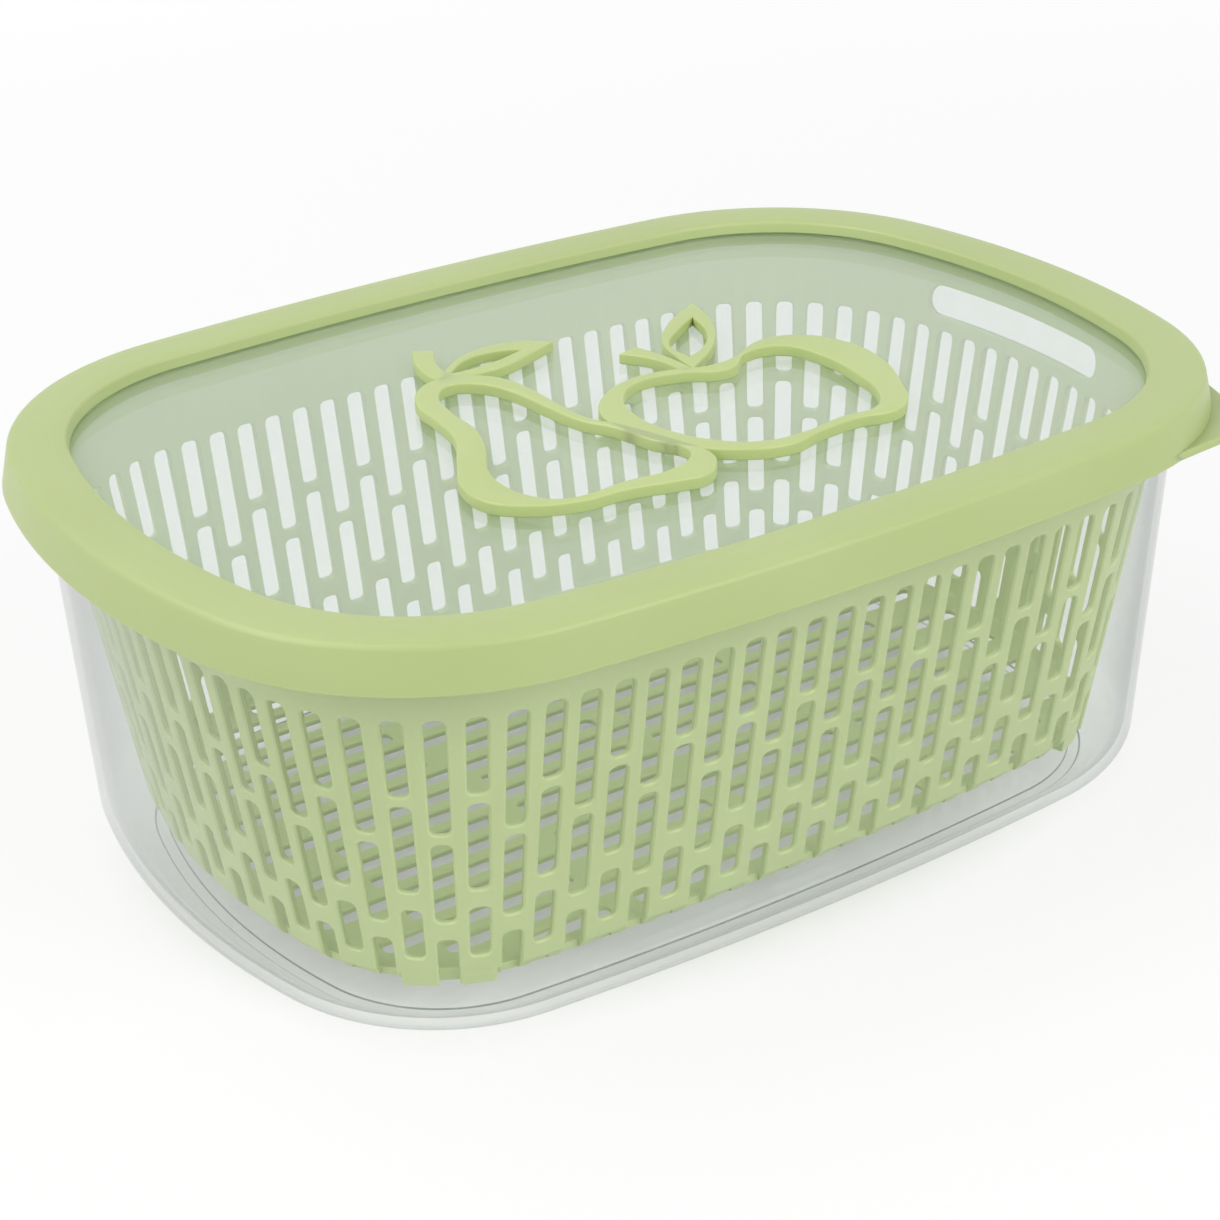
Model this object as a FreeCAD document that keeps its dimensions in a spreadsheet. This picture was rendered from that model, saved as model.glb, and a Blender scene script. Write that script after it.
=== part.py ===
import FreeCAD, Part
import math
import os
import Sketcher
from types import SimpleNamespace
from FreeCAD import Vector

# Produce keeper: a clear tub, a slotted draining basket that hangs in its rim, and a lid made of
# a green rim, a clear window and a grip shaped as the outlines of a pear and an apple.
# Origin: centre of the tub's foot, at the surface that it stands on. +X runs along the tub.

# Sizes in millimetres. An inset is measured inward from the crease round the lid's top edge.
SIZES = (
    ("half_length", 150.0, "centre to the crease at an end"),
    ("half_width", 106.0, "centre to the crease at a side"),
    ("side_bow", 990.0, "radius of the gently bowed sides"),
    ("end_bow", 205.0, "radius of the bowed ends"),
    ("corner_radius", 69.0, "radius of the corners at the crease"),
    ("tub_height", 108.4, "foot to the tub's rim"),
    ("tub_wall", 1.8, "tub wall"),
    ("tub_floor", 2.0, "tub floor"),
    ("tub_inset", 6.5, "outside of the tub's wall at the rim"),
    ("foot_inset", 12.0, "outside of the tub's wall where its rounding starts"),
    ("foot_radius", 14.3, "rounding from the tub's wall to its foot"),
    ("foot_ring_inset", 29.0, "inner edge of the ring that the tub stands on"),
    ("foot_ring_height", 1.2, "hollow inside that ring"),
    ("rim_lip_inset", 1.4, "outer edge of the tub's turned-out rim"),
    ("rim_lip", 1.5, "thickness of the turned-out rim"),
    ("basket_wall", 1.9, "basket wall and floor"),
    ("basket_inset", 8.8, "outside of the basket's wall under its flange"),
    ("basket_draft", 0.162, "how far the basket's wall comes in for each millimetre down"),
    ("flange_inset", 2.4, "outer edge of the basket's flange"),
    ("flange", 1.6, "thickness of the flange"),
    ("drain_gap", 7.2, "tub floor to basket floor"),
    ("basket_edge", 3.0, "height of the basket's bevelled bottom edge"),
    ("basket_edge_in", 1.8, "how far that bevel comes in"),
    ("corner_foot", 0.8, "how far the basket's corners reach below its floor"),
    ("corner_foot_depth", 3.0, "thickness of the basket's corner feet"),
    ("slot_pitch", 8.67, "spacing of the slot columns round the basket"),
    ("slot_width", 5.0, "slot"),
    ("slot_drop", 21.2, "tub rim down to the tops of the slots"),
    ("tall_slot", 32.2, "top slot of the long columns"),
    ("short_slot", 21.2, "top slot of the short columns"),
    ("bridge", 2.9, "bridge under the top slots"),
    ("low_bridge", 5.4, "bridges lower down"),
    ("open_slot", 13.1, "basket floor up to the top of the open bottom slots"),
    ("low_slot", 14.6, "lowest closed slot of the short columns"),
    ("low_slot_up", 7.6, "basket floor up to the lowest closed slots"),
    ("notch_reach", 4.6, "how far the bottom slots reach into the floor"),
    ("floor_slot", 90.0, "length of a floor slot"),
    ("floor_slot_least", 20.0, "shortest floor slot at a row's end"),
    ("floor_slot_gap", 8.0, "bridge between floor slots in a row"),
    ("floor_margin", 8.0, "plain floor round the floor slots"),
    ("hand_slot", 70.0, "length of the hand slots in the ends"),
    ("hand_slot_height", 8.7, "height of the hand slots"),
    ("hand_slot_drop", 12.6, "tub rim down to the middle of the hand slots"),
    ("roof", 2.87, "lid rim above the flange"),
    ("crease_bevel", 0.9, "softened edge along the crease"),
    ("skirt_drop", 11.73, "crease down to the skirt's lower edge"),
    ("skirt_flare", 2.6, "how far the skirt's lower edge stands out"),
    ("skirt_wall", 1.8, "skirt"),
    ("rim_width", 14.2, "crease to the inner edge of the lid rim's top"),
    ("rim_inner_draft", 0.7, "how far the rim's inner wall comes in on its way down"),
    ("window_drop", 4.05, "crease down to the window"),
    ("window", 2.0, "window"),
    ("weld_inset", 11.9, "outer edge of the rim's ledge that the window is welded up under"),
    ("window_margin", 0.3, "ledge edge to window edge"),
    ("grip_height", 3.2, "fruit grip above the window"),
    ("tab_reach", 11.0, "how far the corner tab's tip stands out from the skirt, unrounded"),
    ("tab_span", 23.5, "half the angle that the tab takes at the corner, in degrees"),
    ("tab_angle", 52.5, "direction of the tab from the corner's centre, in degrees"),
    ("tab_tip_radius", 8.0, "rounding of the tab's tip"),
    ("tab_plate", 2.2, "thickness of the tab"),
    ("grip_flat", 5.0, "the grip's curves are drawn with flats about this long"),
)

doc = FreeCAD.newDocument("produce_keeper")
sheet = doc.addObject("Spreadsheet::Sheet", "sizes")
for row, (alias, number, note) in enumerate(SIZES, start=1):
    sheet.set("A%d" % row, alias)
    sheet.set("B%d" % row, str(number))
    sheet.set("C%d" % row, note)
    sheet.setAlias("B%d" % row, alias)
doc.recompute()


# A measure is a number together with the sheet expression that it comes from, so the same sum
# gives a sketch its first shape and binds it to the sheet.
class Measure:
    def __init__(self, value, text):
        self.value = float(value)
        self.text = text

    def __add__(self, other):
        return Measure(self.value + other.value, "(%s + %s)" % (self.text, other.text))

    def __sub__(self, other):
        return Measure(self.value - other.value, "(%s - %s)" % (self.text, other.text))

    def __mul__(self, share):
        return Measure(self.value * share, "(%s * %.6f)" % (self.text, share))

    def __neg__(self):
        return Measure(-self.value, "(0 - %s)" % self.text)


size = SimpleNamespace(**{
    alias: Measure(sheet.get(alias), "sizes." + alias) for alias, number, note in SIZES
})
ZERO = Measure(0.0, "0")

# Heights that several pieces share.
tub_floor_top = size.foot_ring_height + size.tub_floor
flange_top = size.tub_height + size.flange
crease_height = flange_top + size.roof
skirt_bottom = crease_height - size.skirt_drop
window_top = crease_height - size.window_drop
window_bottom = window_top - size.window


# Plan outline
# The outline is eight arcs, each tangent to the next: two sides, two ends and four corners.
def plan_centres():
    side_centre = size.half_width.value - size.side_bow.value
    end_centre = size.half_length.value - size.end_bow.value
    side_reach = size.side_bow.value - size.corner_radius.value
    end_reach = size.end_bow.value - size.corner_radius.value
    apart = math.hypot(end_centre, side_centre)
    along = (side_reach ** 2 - end_reach ** 2 + apart ** 2) / (2 * apart)
    across = math.sqrt(side_reach ** 2 - along ** 2)
    ux, uy = end_centre / apart, -side_centre / apart
    corner = Vector(ux * along + uy * across, side_centre + uy * along - ux * across, 0)
    if corner.x < 0 or corner.y < 0:
        corner = Vector(ux * along - uy * across, side_centre + uy * along + ux * across, 0)
    end_angle = math.atan2(corner.y, corner.x - end_centre)
    side_angle = math.atan2(corner.y - side_centre, corner.x)
    return side_centre, end_centre, corner, end_angle, side_angle


SIDE_CENTRE, END_CENTRE, CORNER, END_ANGLE, SIDE_ANGLE = plan_centres()


def plan_arcs(inset):
    end = size.end_bow.value - inset
    side = size.side_bow.value - inset
    round_corner = size.corner_radius.value - inset
    pi = math.pi
    return (
        (END_CENTRE, 0, end, -END_ANGLE, END_ANGLE),
        (CORNER.x, CORNER.y, round_corner, END_ANGLE, SIDE_ANGLE),
        (0, SIDE_CENTRE, side, SIDE_ANGLE, pi - SIDE_ANGLE),
        (-CORNER.x, CORNER.y, round_corner, pi - SIDE_ANGLE, pi - END_ANGLE),
        (-END_CENTRE, 0, end, pi - END_ANGLE, pi + END_ANGLE),
        (-CORNER.x, -CORNER.y, round_corner, pi + END_ANGLE, pi + SIDE_ANGLE),
        (0, -SIDE_CENTRE, side, pi + SIDE_ANGLE, 2 * pi - SIDE_ANGLE),
        (CORNER.x, -CORNER.y, round_corner, 2 * pi - SIDE_ANGLE, 2 * pi - END_ANGLE),
    )


# Sketch helpers
def new_body(name):
    body = doc.addObject("PartDesign::Body", name)
    body.Label = name
    return body


def new_sketch(body, name, role, height=None):
    sketch = body.newObject("Sketcher::SketchObject", name)
    planes = [item for item in body.Origin.OriginFeatures if item.Role == role]
    sketch.AttachmentSupport = (planes[0], [""])
    sketch.MapMode = "FlatFace"
    if height is not None:
        sketch.AttachmentOffset = FreeCAD.Placement(Vector(0, 0, height.value), FreeCAD.Rotation())
        sketch.setExpression("AttachmentOffset.Base.z", height.text)
    return sketch


def bind(sketch, kind, *places, measure):
    index = sketch.addConstraint(Sketcher.Constraint(kind, *places, measure.value))
    sketch.setExpression("Constraints[%d]" % index, measure.text)


def plan_sketch(body, name, inset, height):
    sketch = new_sketch(body, name, "XY_Plane", height)
    arcs = plan_arcs(inset.value)
    for x, y, radius, start, stop in arcs:
        circle = Part.Circle(Vector(x, y, 0), Vector(0, 0, 1), radius)
        sketch.addGeometry(Part.ArcOfCircle(circle, start, stop), False)
    for index in range(len(arcs)):
        following = (index + 1) % len(arcs)
        sketch.addConstraint(Sketcher.Constraint("Tangent", index, 2, following, 1))
    end_centre = size.half_length - size.end_bow
    side_centre = size.half_width - size.side_bow
    for index, centre in ((0, end_centre), (4, -end_centre)):
        sketch.addConstraint(Sketcher.Constraint("PointOnObject", index, 3, -1))
        bind(sketch, "DistanceX", -1, 1, index, 3, measure=centre)
        bind(sketch, "Radius", index, measure=size.end_bow - inset)
    for index, centre in ((2, side_centre), (6, -side_centre)):
        sketch.addConstraint(Sketcher.Constraint("PointOnObject", index, 3, -2))
        bind(sketch, "DistanceY", -1, 1, index, 3, measure=centre)
        bind(sketch, "Radius", index, measure=size.side_bow - inset)
    for index in (1, 3, 5, 7):
        bind(sketch, "Radius", index, measure=size.corner_radius - inset)
    return sketch


# A section lies in the upright plane through both ends. Its corners are (inset, height).
def section_sketch(body, name, corners):
    sketch = new_sketch(body, name, "XZ_Plane")
    across = [size.half_length - inset for inset, height in corners]
    heights = [height for inset, height in corners]
    points = [Vector(x.value, z.value, 0) for x, z in zip(across, heights)]
    for start, stop in zip(points, points[1:] + points[:1]):
        sketch.addGeometry(Part.LineSegment(start, stop), False)
    for index in range(len(points)):
        before = (index - 1) % len(points)
        sketch.addConstraint(Sketcher.Constraint("Coincident", before, 2, index, 1))
        bind(sketch, "DistanceX", -1, 1, index, 1, measure=across[index])
        if heights[index].value > 0:
            bind(sketch, "DistanceY", -1, 1, index, 1, measure=heights[index])
        else:
            sketch.addConstraint(Sketcher.Constraint("PointOnObject", index, 1, -1))
    return sketch


# A rounding from an upright wall to a floor, drawn with a few flats that keep the faces few.
OUTSIDE_FLATS, INSIDE_FLATS = 3, 2


def rounding(inset, floor, radius, flats):
    angles = [math.pi / 2 * step / flats for step in range(flats + 1)]
    return [(inset + radius * (1 - math.cos(angle)), floor + radius * (1 - math.sin(angle)))
            for angle in angles]


def run_round(body, section):
    spine = plan_sketch(body, body.Name + "_path", ZERO, ZERO)
    pipe = body.newObject("PartDesign::AdditivePipe", body.Name + "_run")
    pipe.Profile = section
    pipe.Spine = spine
    return pipe


def pad(body, sketch, thickness):
    feature = body.newObject("PartDesign::Pad", sketch.Name + "_pad")
    feature.Profile = sketch
    feature.setExpression("Length", thickness.text)
    return feature


# Container
# One clear moulding: wall, rounded foot, standing ring and a turned-out rim, run round the
# outline as one section, and a flat floor inside them.
def make_container():
    body = new_body("container")
    floor_edge = size.foot_ring_inset + size.tub_wall
    outside = rounding(size.foot_inset, ZERO, size.foot_radius, OUTSIDE_FLATS)
    inside = rounding(size.foot_inset + size.tub_wall, tub_floor_top,
                      size.foot_radius - size.tub_floor, INSIDE_FLATS)
    section = section_sketch(body, "container_section", [
        (size.tub_inset + size.tub_wall, size.tub_height),
        (size.rim_lip_inset, size.tub_height),
        (size.rim_lip_inset, size.tub_height - size.rim_lip),
        (size.tub_inset, size.tub_height - size.rim_lip),
        *outside,
        (size.foot_ring_inset, ZERO),
        (size.foot_ring_inset, size.foot_ring_height),
        (floor_edge, size.foot_ring_height),
        (floor_edge, tub_floor_top),
        *reversed(inside),
    ])
    run_round(body, section)
    floor = plan_sketch(body, "container_floor", size.foot_ring_inset, size.foot_ring_height)
    pad(body, floor, size.tub_floor)
    return body


# Lid rim
# One green moulding: skirt, top, a ledge round the inside that the window is welded up under,
# and the pull tab.
def make_lid_rim():
    body = new_body("lid_rim")
    inner_foot = size.rim_width + size.rim_inner_draft
    section = section_sketch(body, "lid_rim_section", (
        (-size.skirt_flare, skirt_bottom),
        (ZERO, crease_height - size.crease_bevel),
        (size.crease_bevel, crease_height),
        (size.rim_width, crease_height),
        (inner_foot, window_top),
        (size.weld_inset, window_top),
        (size.weld_inset, flange_top),
        (size.skirt_wall, flange_top),
        (size.skirt_wall - size.skirt_flare, skirt_bottom),
    ))
    run_round(body, section)
    pad(body, tab_sketch(body), size.tab_plate)
    return body


# The tab is a flat plate on one corner, its two edges nearly straight and its tip rounded.
def tab_sketch(body):
    sketch = new_sketch(body, "lid_rim_tab", "XY_Plane", skirt_bottom)
    centre = Vector(CORNER.x, -CORNER.y, 0)
    outside = size.corner_radius.value + size.skirt_flare.value
    root_radius = outside - size.skirt_wall.value / 2

    def toward(turn, radius):
        angle = math.radians(turn - size.tab_angle.value)
        return centre + Vector(math.cos(angle), math.sin(angle), 0) * radius

    first = toward(-size.tab_span.value, root_radius)
    middle = toward(0, root_radius)
    last = toward(size.tab_span.value, root_radius)
    tip = toward(0, outside + size.tab_reach.value)
    to_first = (first - tip).normalize()
    to_last = (last - tip).normalize()
    half_angle = to_first.getAngle(to_last) / 2
    cut = size.tab_tip_radius.value / math.tan(half_angle)
    inward = (to_first + to_last).normalize()
    round_middle = tip + inward * size.tab_tip_radius.value * (1 / math.sin(half_angle) - 1)
    round_start, round_stop = tip + to_last * cut, tip + to_first * cut
    sketch.addGeometry(Part.Arc(first, middle, last), False)
    sketch.addGeometry(Part.LineSegment(last, round_start), False)
    sketch.addGeometry(Part.Arc(round_start, round_middle, round_stop), False)
    sketch.addGeometry(Part.LineSegment(round_stop, first), False)
    return sketch


# Lid window
# A flat clear panel. Its border is welded up under the rim, and its edge centres the lid.
def make_lid_window():
    body = new_body("lid_window")
    edge = size.weld_inset + size.window_margin
    pad(body, plan_sketch(body, "lid_window_outline", edge, window_bottom), size.window)
    return body


# Fruit grip
# Raised outlines on the window, with bands that swell and thin like pen strokes. Each outline
# is one closed stroke, or two strokes that meet in sharp tips. Points are (along, across).
PEAR = (
    ((-33, 33.4), (-41.5, 29.8), (-46.7, 21.4), (-48, 10), (-50, -1.6), (-58, -16), (-64, -28),
     (-63.6, -39), (-57, -46.3), (-46, -51.4), (-33, -52.5), (-21, -55.8), (-13.5, -57),
     (-8, -53.2), (-5, -47), (-6.5, -39), (-9.8, -28), (-13, -19), (-16.7, -11), (-17.6, 0),
     (-17.8, 13.5), (-20, 24.5), (-25.4, 30.6)),
)
PEAR_INSIDE = (
    ((-33, 27.7), (-38.8, 23.7), (-42, 12), (-42.8, 0), (-47, -11.6), (-53.7, -23.6),
     (-55.4, -32.5), (-53.7, -41.6), (-49, -47.4), (-41, -49), (-32.7, -48.2), (-19, -49.2),
     (-10.7, -46), (-8.4, -41.5), (-12.4, -31.7), (-15.1, -20.3), (-19.4, -11.5), (-21.3, 1.3),
     (-23.3, 16.9), (-27, 24.4)),
)
PEAR_STEM = (
    ((-28.3, 54.7), (-31, 49.6), (-33, 44), (-34, 37.6), (-34, 31)),
    ((-34, 31), (-29, 31.5)),
    ((-29, 31.5), (-28.8, 39), (-27, 45), (-23.6, 51.2)),
    ((-23.6, 51.2), (-28.3, 54.7)),
)
PEAR_LEAF = (
    ((5.4, 38), (-2.7, 44), (-13.6, 45.4), (-24.3, 41), (-33, 33)),
    ((-33, 33), (-24.6, 30.6), (-14.4, 30.7), (-3, 34.6), (5.4, 38)),
)
PEAR_LEAF_INSIDE = (
    ((-28.5, 35), (-19.7, 40.8), (-9.7, 40.8), (-4.4, 38)),
    ((-4.4, 38), (-14.6, 35.2), (-23.8, 34.4), (-28.5, 35)),
)
APPLE = (
    ((-12, -9), (-5, -1.3), (6.3, 3.5), (16.6, 2.6), (28.8, -1.5), (36.6, -0.5), (48.6, 4.8),
     (59, 2.3), (66.4, -9), (66.8, -23.6), (60.5, -39.6), (53, -51), (47, -53.8), (37, -51.8),
     (25.7, -52.4), (12.8, -54.7), (0.6, -49), (-7.1, -41), (-12.6, -30), (-14.2, -17)),
)
APPLE_INSIDE = (
    ((-2, -5.6), (7.6, 0.6), (18, -0.8), (30.8, -6.6), (41.7, 0), (51, -1.6), (55.3, -13),
     (54.4, -29.8), (50.5, -43), (44, -49), (33.7, -48.6), (21.2, -50.4), (9.5, -49), (0.2, -41.3),
     (-5.3, -29.4), (-6.1, -16.8)),
)
APPLE_STEM = (
    ((14, 19.6), (17.5, 14.5), (19.6, 9), (20.4, 0)),
    ((20.4, 0), (23.6, -1)),
    ((23.6, -1), (23, 10), (20.4, 21)),
    ((20.4, 21), (14, 19.6)),
)
APPLE_LEAF = (
    ((52, 39.2), (48.6, 26.3), (38.5, 10.7), (23.5, -0.5)),
    ((23.5, -0.5), (24.6, 8), (28, 19.7), (37.4, 30.1), (52, 39.2)),
)
APPLE_LEAF_INSIDE = (
    ((45.5, 30), (41.6, 18.5), (34.5, 10.4), (27.6, 7)),
    ((27.6, 7), (28.4, 16.7), (37.1, 24.7), (45.5, 30)),
)


# A stroke is a smooth curve through its points, cut into flats of nearly one length.
def stroke_points(points, closed):
    places = [Vector(x, y, 0) for x, y in points]
    if len(places) == 2:
        return places
    curve = Part.BSplineCurve()
    curve.interpolate(Points=places, PeriodicFlag=closed)
    flats = max(3, round(curve.length() / size.grip_flat.value))
    return curve.discretize(Number=flats + 1)


def draw_outline(sketch, strokes):
    corners = []
    for points in strokes:
        corners += stroke_points(points, closed=len(strokes) == 1)[:-1]
    edges = []
    for start, stop in zip(corners, corners[1:] + corners[:1]):
        edges.append(sketch.addGeometry(Part.LineSegment(start, stop), False))
    for edge, following in zip(edges, edges[1:] + edges[:1]):
        sketch.addConstraint(Sketcher.Constraint("Coincident", edge, 2, following, 1))


def make_fruit_grip():
    body = new_body("fruit_grip")
    shapes = (
        ("pear", (PEAR, PEAR_INSIDE)),
        ("pear_stem", (PEAR_STEM,)),
        ("pear_leaf", (PEAR_LEAF, PEAR_LEAF_INSIDE)),
        ("apple", (APPLE, APPLE_INSIDE)),
        ("apple_stem", (APPLE_STEM,)),
        ("apple_leaf", (APPLE_LEAF, APPLE_LEAF_INSIDE)),
    )
    for name, outlines in shapes:
        sketch = new_sketch(body, "grip_" + name, "XY_Plane", window_top)
        for strokes in outlines:
            draw_outline(sketch, strokes)
        pad(body, sketch, size.grip_height)
    return body


# Basket
# One green moulding with a flat strip of wall for each column of slots. Its outline is a
# polygon of such strips, and every level of the wall is that polygon moved in or out.
WALL_TOP = size.tub_height.value
FLOOR_BOTTOM = (tub_floor_top + size.drain_gap).value
FLOOR_TOP = FLOOR_BOTTOM + size.basket_wall.value


def wall_inset(height):
    return size.basket_inset.value + size.basket_draft.value * (WALL_TOP - height)


MIDDLE_INSET = wall_inset((WALL_TOP + FLOOR_BOTTOM) / 2)
QUARTER_ARCS = (
    (0, SIDE_CENTRE, size.side_bow.value - MIDDLE_INSET, math.pi / 2, SIDE_ANGLE),
    (CORNER.x, CORNER.y, size.corner_radius.value - MIDDLE_INSET, SIDE_ANGLE, END_ANGLE),
    (END_CENTRE, 0, size.end_bow.value - MIDDLE_INSET, END_ANGLE, 0),
)
QUARTER = sum(radius * (start - stop) for x, y, radius, start, stop in QUARTER_ARCS)
COLUMNS = 2 * round(QUARTER / size.slot_pitch.value / 2)


def quarter_point(travel):
    for x, y, radius, start, stop in QUARTER_ARCS:
        if travel <= radius * (start - stop):
            angle = start - travel / radius
            return Vector(x + radius * math.cos(angle), y + radius * math.sin(angle), 0)
        travel -= radius * (start - stop)
    return Vector(size.half_length.value - MIDDLE_INSET, 0, 0)


def strip_corners():
    quarter = [quarter_point((k + 0.5) * QUARTER / COLUMNS) for k in range(COLUMNS)]
    left = [Vector(-p.x, p.y, 0) for p in quarter]
    low_left = [Vector(-p.x, -p.y, 0) for p in reversed(quarter)]
    low_right = [Vector(p.x, -p.y, 0) for p in quarter]
    return quarter[::-1] + left + low_left + low_right


CORNERS = strip_corners()
STRIPS = len(CORNERS)


def strip_frame(index):
    start, stop = CORNERS[index], CORNERS[(index + 1) % STRIPS]
    along = (stop - start).normalize()
    return (start + stop) / 2, along, Vector(along.y, -along.x, 0)


# Strips are counted from the +X end, which is a long column; every other one is a short column.
def column_of(index):
    from_end = min((index + 1) % (2 * COLUMNS), -(index + 1) % (2 * COLUMNS))
    return COLUMNS - from_end


def level_corner(index, inset, height):
    before, after = strip_frame(index - 1)[2], strip_frame(index)[2]
    move = (before + after) * ((MIDDLE_INSET - inset) / (1 + before.dot(after)))
    place = CORNERS[index] + move
    return Vector(place.x, place.y, height)


def closed_polygon(points):
    return Part.makePolygon(list(points) + [points[0]])


def levels_solid(levels):
    rings = [[level_corner(k, inset, height) for k in range(STRIPS)] for inset, height in levels]
    faces = [Part.Face(closed_polygon(rings[0])), Part.Face(closed_polygon(rings[-1]))]
    for lower, upper in zip(rings, rings[1:]):
        for k in range(STRIPS):
            following = (k + 1) % STRIPS
            quad = (lower[k], lower[following], upper[following], upper[k])
            faces.append(Part.Face(closed_polygon(quad)))
    return Part.makeSolid(Part.makeShell(faces))


def strip_block(index, low, high, inner, outer, half_width):
    middle, along, outward = strip_frame(index)
    lift = Vector(0, 0, low)
    near = middle + outward * (MIDDLE_INSET - inner) + lift
    reach = outward * (inner - outer)
    half = along * half_width
    base = closed_polygon((near - half, near + half, near + half + reach, near - half + reach))
    return Part.Face(base).extrude(Vector(0, 0, high - low))


def slot_rows(column):
    top = WALL_TOP - size.slot_drop.value
    if column % 2 == 0:
        high_end = top - size.tall_slot.value
        low_start = FLOOR_BOTTOM + size.open_slot.value
        low_rows = [(None, low_start)]
    else:
        high_end = top - size.short_slot.value
        closed = FLOOR_BOTTOM + size.low_slot_up.value
        low_start = closed + size.low_slot.value
        low_rows = [(closed, low_start)]
    middle = (low_start + size.low_bridge.value, high_end - size.bridge.value)
    return [(high_end, top), middle] + low_rows


# A slot's block starts one wall outside the basket and ends one wall inside it.
def wall_slots():
    wall = size.basket_wall.value
    half = size.slot_width.value / 2
    blocks = []
    for index in range(STRIPS):
        for low, high in slot_rows(column_of(index)):
            outer = wall_inset(high) - wall
            if low is None:
                low = FLOOR_BOTTOM - size.corner_foot.value - wall
                inner = wall_inset(FLOOR_BOTTOM) + size.notch_reach.value
            else:
                inner = wall_inset(low) + 2 * wall
            blocks.append(strip_block(index, low, high, inner, outer, half))
    return blocks


# A foot is the wall of three strips carried straight down past the bevel. It stands under the
# middle of the rounded corner, a little past halfway from the side's middle to the end's.
FOOT_SHARE = 0.54


def corner_feet():
    bottom = FLOOR_BOTTOM - size.corner_foot.value
    top = FLOOR_BOTTOM + size.basket_edge.value
    middle_column = 2 * round(COLUMNS / 2 * FOOT_SHARE)
    feet = []
    for index in range(STRIPS):
        if abs(column_of(index) - middle_column) > 1:
            continue
        corners = []
        for height in (bottom, top):
            outer = wall_inset(height)
            inner = outer + size.corner_foot_depth.value
            following = (index + 1) % STRIPS
            corners.append((level_corner(index, outer, height), level_corner(following, outer, height),
                            level_corner(following, inner, height), level_corner(index, inner, height)))
        low, high = corners
        faces = [Part.Face(closed_polygon(low)), Part.Face(closed_polygon(high))]
        for k in range(4):
            quad = (low[k], low[(k + 1) % 4], high[(k + 1) % 4], high[k])
            faces.append(Part.Face(closed_polygon(quad)))
        feet.append(Part.makeSolid(Part.makeShell(faces)))
    return feet


# The rows run along the basket and are staggered like brickwork. Each block passes through the
# floor by the floor's own thickness above and below.
def floor_slots():
    pitch = QUARTER / COLUMNS
    half = size.slot_width.value / 2
    floor = size.basket_wall.value
    edge = wall_inset(FLOOR_TOP) + size.floor_margin.value
    reach_along = size.half_length.value - edge
    reach_across = size.half_width.value - edge
    step = size.floor_slot.value + size.floor_slot_gap.value
    slots = []
    row_count = int((reach_across - half) / pitch)
    for row in range(-row_count, row_count + 1):
        y = row * pitch
        shift = 0 if row % 2 == 0 else step / 2
        room = reach_along - corner_loss(abs(y) + half, edge)
        segment = -math.ceil(room / step) - 1
        while segment * step + shift < room:
            centre = segment * step + shift
            start = max(centre - size.floor_slot.value / 2, -room)
            stop = min(centre + size.floor_slot.value / 2, room)
            segment += 1
            if stop - start < size.floor_slot_least.value:
                continue
            corner = Vector(start, y - half, FLOOR_BOTTOM - floor)
            slots.append(Part.makeBox(stop - start, 2 * half, 3 * floor, corner))
    return slots


# How much shorter than the middle row a floor row has to be, at a distance across from it.
def corner_loss(across, edge):
    radius = size.corner_radius.value - edge
    beyond = across - CORNER.y
    bow = size.end_bow.value - edge
    if across <= bow * math.sin(END_ANGLE):
        return bow - math.sqrt(bow ** 2 - across ** 2)
    return size.half_length.value - edge - CORNER.x - math.sqrt(max(radius ** 2 - beyond ** 2, 0))


# One block with round ends cuts both ends of the basket.
def hand_slots():
    middle = WALL_TOP - size.hand_slot_drop.value
    radius = size.hand_slot_height.value / 2
    straight = size.hand_slot.value / 2 - radius
    far = size.half_length.value
    top, bottom = Vector(-far, 0, middle + radius), Vector(-far, 0, middle - radius)
    side = Vector(0, straight, 0)
    left, right = Vector(-far, -straight - radius, middle), Vector(-far, straight + radius, middle)
    outline = Part.Wire([
        Part.makeLine(bottom - side, bottom + side),
        Part.Arc(bottom + side, right, top + side).toShape(),
        Part.makeLine(top + side, top - side),
        Part.Arc(top - side, left, bottom - side).toShape(),
    ])
    return Part.Face(outline).extrude(Vector(2 * far, 0, 0))


def make_basket():
    bevel_top = FLOOR_BOTTOM + size.basket_edge.value
    wall = size.basket_wall.value
    top = flange_top.value
    inset = size.basket_inset.value
    bottom_inset = wall_inset(FLOOR_BOTTOM) + size.basket_edge_in.value
    outside = levels_solid((
        (bottom_inset, FLOOR_BOTTOM),
        (wall_inset(bevel_top), bevel_top),
        (inset, WALL_TOP),
        (inset, top),
    ))
    flange = levels_solid(((size.flange_inset.value, WALL_TOP), (size.flange_inset.value, top)))
    inside = levels_solid((
        (wall_inset(FLOOR_TOP) + wall, FLOOR_TOP),
        (inset + wall, WALL_TOP),
        (inset + wall, top),
    ))
    shell = outside.fuse([flange] + corner_feet()).cut(inside)
    cutters = wall_slots() + floor_slots() + [hand_slots()]
    basket = doc.addObject("Part::Feature", "basket")
    basket.Label = "basket"
    basket.Shape = shell.cut(cutters).removeSplitter()
    return basket


PIECES = (make_container(), make_basket(), make_lid_rim(), make_lid_window(), make_fruit_grip())
doc.recompute()

for item in doc.Objects:
    if "Invalid" in item.State or "Error" in item.State:
        raise RuntimeError("%s did not build: %s" % (item.Name, item.State))
for piece in PIECES:
    if piece.Shape.isNull() or not piece.Shape.isValid() or len(piece.Shape.Solids) != 1:
        raise RuntimeError("%s is not one valid solid" % piece.Label)

os.makedirs("parts", exist_ok=True)
for piece in PIECES:
    piece.Shape.exportStep(os.path.join("parts", piece.Label + ".step"))
    box = piece.Shape.BoundBox
    print("%-12s %9.0f mm3  z %6.2f to %6.2f" % (piece.Label, piece.Shape.Volume, box.ZMin, box.ZMax))
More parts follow.
